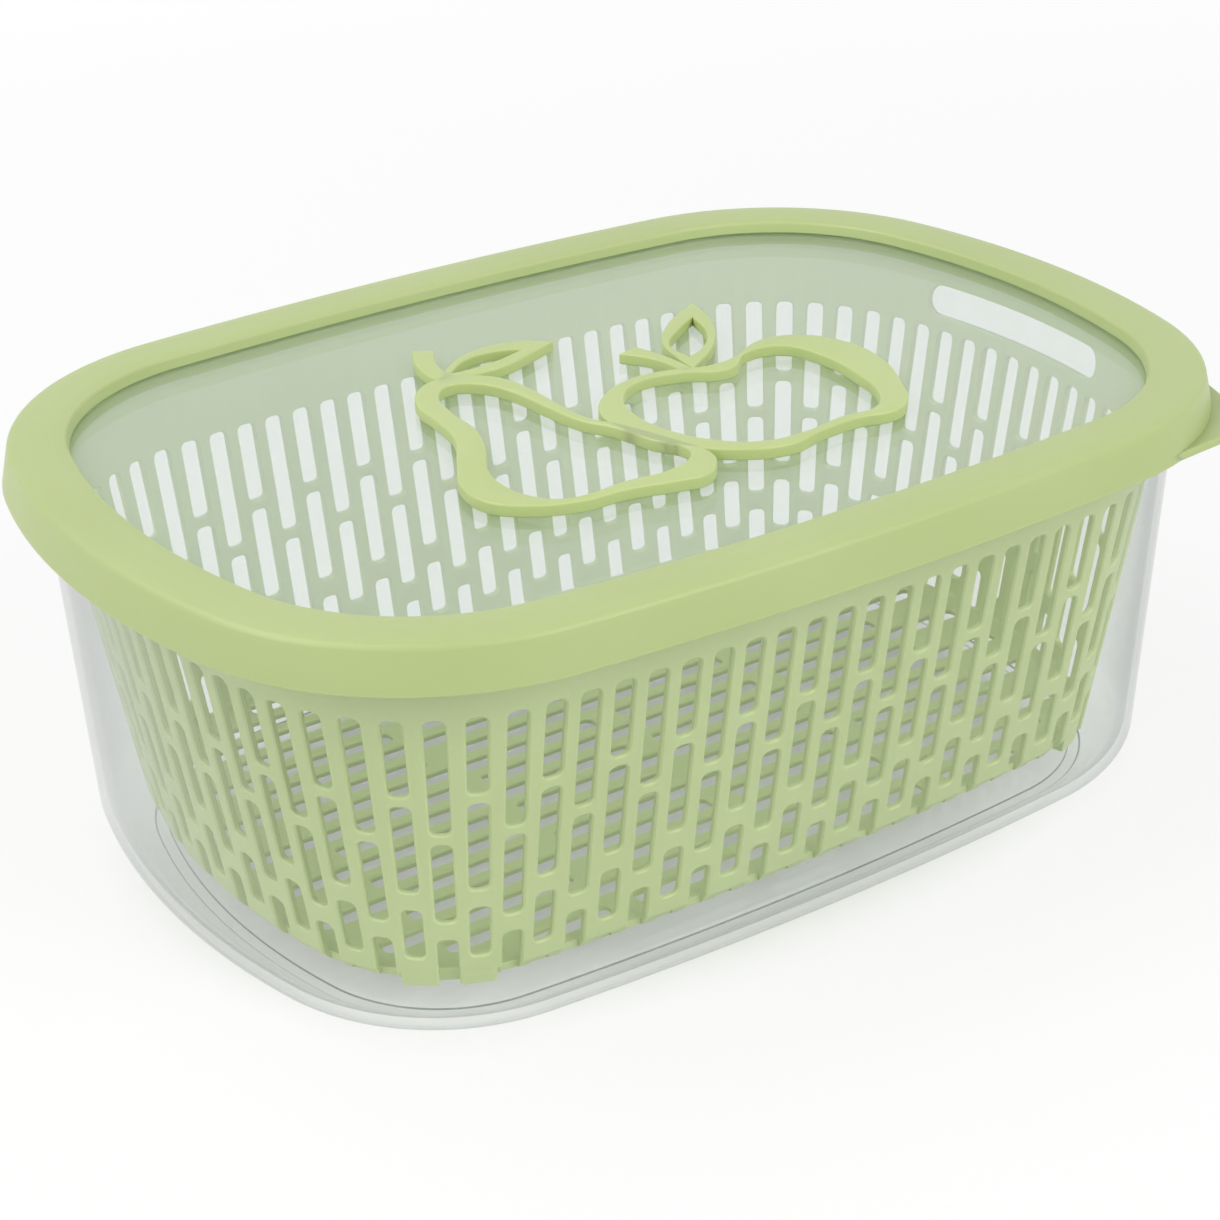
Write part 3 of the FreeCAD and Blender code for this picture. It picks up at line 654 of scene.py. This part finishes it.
# %% [markdown]
# The grip stands on the window as the outlines of a pear and an apple, in bands that swell
# and thin like pen strokes. Each list holds the few points that its shape needs, and the
# curve's automatic handles draw the smooth line through them.

# %% Fruit grip
PEAR = (
    ((-33, 33.4), (-41.5, 29.8), (-46.7, 21.4), (-48, 10), (-50, -1.6), (-58, -16), (-64, -28),
     (-63.6, -39), (-57, -46.3), (-46, -51.4), (-33, -52.5), (-21, -55.8), (-13.5, -57),
     (-8, -53.2), (-5, -47), (-6.5, -39), (-9.8, -28), (-13, -19), (-16.7, -11), (-17.6, 0),
     (-17.8, 13.5), (-20, 24.5), (-25.4, 30.6)),
)
PEAR_INSIDE = (
    ((-33, 27.7), (-38.8, 23.7), (-42, 12), (-42.8, 0), (-47, -11.6), (-53.7, -23.6),
     (-55.4, -32.5), (-53.7, -41.6), (-49, -47.4), (-41, -49), (-32.7, -48.2), (-19, -49.2),
     (-10.7, -46), (-8.4, -41.5), (-12.4, -31.7), (-15.1, -20.3), (-19.4, -11.5), (-21.3, 1.3),
     (-23.3, 16.9), (-27, 24.4)),
)
PEAR_STEM = (
    ((-28.3, 54.7), (-31, 49.6), (-33, 44), (-34, 37.6), (-34, 31)),
    ((-34, 31), (-29, 31.5)),
    ((-29, 31.5), (-28.8, 39), (-27, 45), (-23.6, 51.2)),
    ((-23.6, 51.2), (-28.3, 54.7)),
)
PEAR_LEAF = (
    ((5.4, 38), (-2.7, 44), (-13.6, 45.4), (-24.3, 41), (-33, 33)),
    ((-33, 33), (-24.6, 30.6), (-14.4, 30.7), (-3, 34.6), (5.4, 38)),
)
PEAR_LEAF_INSIDE = (
    ((-28.5, 35), (-19.7, 40.8), (-9.7, 40.8), (-4.4, 38)),
    ((-4.4, 38), (-14.6, 35.2), (-23.8, 34.4), (-28.5, 35)),
)
APPLE = (
    ((-12, -9), (-5, -1.3), (6.3, 3.5), (16.6, 2.6), (28.8, -1.5), (36.6, -0.5), (48.6, 4.8),
     (59, 2.3), (66.4, -9), (66.8, -23.6), (60.5, -39.6), (53, -51), (47, -53.8), (37, -51.8),
     (25.7, -52.4), (12.8, -54.7), (0.6, -49), (-7.1, -41), (-12.6, -30), (-14.2, -17)),
)
APPLE_INSIDE = (
    ((-2, -5.6), (7.6, 0.6), (18, -0.8), (30.8, -6.6), (41.7, 0), (51, -1.6), (55.3, -13),
     (54.4, -29.8), (50.5, -43), (44, -49), (33.7, -48.6), (21.2, -50.4), (9.5, -49), (0.2, -41.3),
     (-5.3, -29.4), (-6.1, -16.8)),
)
APPLE_STEM = (
    ((14, 19.6), (17.5, 14.5), (19.6, 9), (20.4, 0)),
    ((20.4, 0), (23.6, -1)),
    ((23.6, -1), (23, 10), (20.4, 21)),
    ((20.4, 21), (14, 19.6)),
)
APPLE_LEAF = (
    ((52, 39.2), (48.6, 26.3), (38.5, 10.7), (23.5, -0.5)),
    ((23.5, -0.5), (24.6, 8), (28, 19.7), (37.4, 30.1), (52, 39.2)),
)
APPLE_LEAF_INSIDE = (
    ((45.5, 30), (41.6, 18.5), (34.5, 10.4), (27.6, 7)),
    ((27.6, 7), (28.4, 16.7), (37.1, 24.7), (45.5, 30)),
)
# Each outline's top is a little lower than the last, so that no two tops share one plane.
GRIP_HEIGHT, GRIP_EDGE, LAYER_STEP = 3.2, 0.45, 0.04
grip_meshes = [
    plate_mesh("grip", outlines, WINDOW_TOP, WINDOW_TOP + GRIP_HEIGHT - LAYER_STEP * layer,
               GRIP_EDGE)
    for layer, outlines in enumerate((
        (PEAR, PEAR_INSIDE), (APPLE, APPLE_INSIDE), (PEAR_STEM,), (APPLE_STEM,),
        (PEAR_LEAF, PEAR_LEAF_INSIDE), (APPLE_LEAF, APPLE_LEAF_INSIDE)))
]
place_piece("fruit_grip_green", joined("fruit_grip_green", grip_meshes), "fruit_grip", "lid",
            grip_green_painted_lighter)

# %% [markdown]
# The studio. A white floor and a white surround, soft lamps, and a camera where the
# photographer stood, worked out from the outlines in the picture. The floor and the world
# are seen as near white directly, in reflections and through the clear plastic, while the
# lamps keep the object at a level at which each colour renders about as it is written. The
# floor's glow is painted shade by place: least under the tub, which paints a shadow there on
# top of the object's real one, more outside it, and fully far off, where it meets the white
# surround.

# %% Floor
floor_half = 3.0
# The floor's glow by distance from the middle; the low glow under the tub is a painted shadow.
UNDER_STOPS, UNDER_GLOW, OPEN_GLOW = 75.0, 0.35, 0.75
OPEN_STARTS, FAR_STARTS, FAR_STOPS, FAR_GLOW = 105.0, 250.0, 900.0, 0.25
floor_mesh = bpy.data.meshes.new("floor")
floor_mesh.from_pydata([(-floor_half, -floor_half, 0), (floor_half, -floor_half, 0),
                        (floor_half, floor_half, 0), (-floor_half, floor_half, 0)],
                       [], [(0, 1, 2, 3)])
floor = bpy.data.objects.new("floor", floor_mesh)
floor.location.z = -0.05 * MM
bpy.context.scene.collection.objects.link(floor)


# Gives 1 where a surface is seen directly, in a reflection or through the clear plastic.
def seen_directly(material):
    ray = add_node(material, "ShaderNodeLightPath")
    mirrored = add_node(material, "ShaderNodeMath", {"operation": "MAXIMUM"})
    shown = add_node(material, "ShaderNodeMath", {"operation": "MAXIMUM"})
    link = material.node_tree.links.new
    link(ray.outputs["Is Glossy Ray"], mirrored.inputs[0])
    link(ray.outputs["Is Transmission Ray"], mirrored.inputs[1])
    link(ray.outputs["Is Camera Ray"], shown.inputs[0])
    link(mirrored.outputs[0], shown.inputs[1])
    return shown.outputs[0]


paper = new_material("white_paper")
place = add_node(paper, "ShaderNodeTexCoord").outputs["Object"]
squeezed = add_node(paper, "ShaderNodeMapping", {"Scale": (HALF_WIDTH / HALF_LENGTH, 1, 1)},
                    Vector=place)
distance = add_node(paper, "ShaderNodeVectorMath", {"operation": "LENGTH"},
                    Vector=squeezed.outputs["Vector"]).outputs["Value"]
# Painted shadow: the floor's glow drops to its lowest under the tub, so it shows darker there.
under_tub_painted_shadow = add_node(paper, "ShaderNodeMapRange",
                    {"From Min": UNDER_STOPS * MM, "From Max": OPEN_STARTS * MM,
                     "To Min": UNDER_GLOW, "To Max": OPEN_GLOW}, Value=distance)
far_off = add_node(paper, "ShaderNodeMapRange",
                   {"From Min": FAR_STARTS * MM, "From Max": FAR_STOPS * MM,
                    "To Min": 0.0, "To Max": FAR_GLOW}, Value=distance)
glow_share = add_node(paper, "ShaderNodeMath", {"operation": "ADD"})
paper.node_tree.links.new(under_tub_painted_shadow.outputs["Result"], glow_share.inputs[0])
paper.node_tree.links.new(far_off.outputs["Result"], glow_share.inputs[1])
share = add_node(paper, "ShaderNodeMath", {"operation": "MULTIPLY"})
paper.node_tree.links.new(seen_directly(paper), share.inputs[0])
paper.node_tree.links.new(glow_share.outputs[0], share.inputs[1])
matt = add_node(paper, "ShaderNodeBsdfDiffuse", {"Color": linear_colour("#f4f4f4")})
glow = add_node(paper, "ShaderNodeEmission", {"Color": (1, 1, 1, 1), "Strength": 1.0})
blend = add_node(paper, "ShaderNodeMixShader", Fac=share.outputs[0])
paper.node_tree.links.new(matt.outputs[0], blend.inputs[1])
paper.node_tree.links.new(glow.outputs[0], blend.inputs[2])
add_node(paper, "ShaderNodeOutputMaterial", Surface=blend.outputs[0])
floor_mesh.materials.append(paper)

# %% World
WORLD_LIGHT = 0.5
world = bpy.data.worlds.new("studio")
bpy.context.scene.world = world
world.use_nodes = True
world.node_tree.nodes.clear()
level = add_node(world, "ShaderNodeMapRange", {"To Min": WORLD_LIGHT, "To Max": 1.0},
                 Value=seen_directly(world))
sky = add_node(world, "ShaderNodeBackground", {"Color": (1, 1, 1, 1)},
               Strength=level.outputs["Result"])
add_node(world, "ShaderNodeOutputWorld", Surface=sky.outputs[0])


# %% Lamps
def soft_lamp(name, place, width, power):
    lamp = bpy.data.lights.new(name, "AREA")
    lamp.shape, lamp.size, lamp.energy = "DISK", width, power
    holder = bpy.data.objects.new(name, lamp)
    bpy.context.scene.collection.objects.link(holder)
    holder.location = place
    holder.rotation_euler = (Vector((0, 0, 0.06)) - Vector(place)).to_track_quat(
        "-Z", "Y").to_euler()


soft_lamp("high_back", (-0.5, 0.5, 1.3), 1.1, 5.5)
soft_lamp("left", (-1.2, 0.0, 0.9), 1.0, 6.3)
soft_lamp("right", (0.4, -1.2, 0.9), 1.0, 10)

# %% Camera
CAMERA_AZIMUTH, CAMERA_ELEVATION, CAMERA_ROLL = -33.97, 26.98, -1.31
CAMERA_DISTANCE, CAMERA_TARGET = 713.09 * MM, Vector((-3.91, 0, 49.71)) * MM
azimuth, elevation, roll = (math.radians(angle) for angle in
                            (CAMERA_AZIMUTH, CAMERA_ELEVATION, CAMERA_ROLL))
back = Vector((math.sin(azimuth) * math.cos(elevation),
               -math.cos(azimuth) * math.cos(elevation), math.sin(elevation)))
level_right = Vector((math.cos(azimuth), math.sin(azimuth), 0))
level_up = back.cross(level_right)
right = level_right * math.cos(roll) + level_up * math.sin(roll)
up = level_up * math.cos(roll) - level_right * math.sin(roll)
lens = bpy.data.cameras.new("camera")
lens.lens, lens.sensor_width = 79.56, 36.0
lens.clip_start, lens.clip_end = 0.01, 50
camera = bpy.data.objects.new("camera", lens)
bpy.context.scene.collection.objects.link(camera)
turn_matrix = Matrix((right, up, back)).transposed().to_4x4()
camera.matrix_world = Matrix.Translation(CAMERA_TARGET + back * CAMERA_DISTANCE) @ turn_matrix
bpy.context.scene.camera = camera
bpy.context.scene.view_settings.view_transform = "Standard"

# %% Update the scene
bpy.context.view_layer.update()
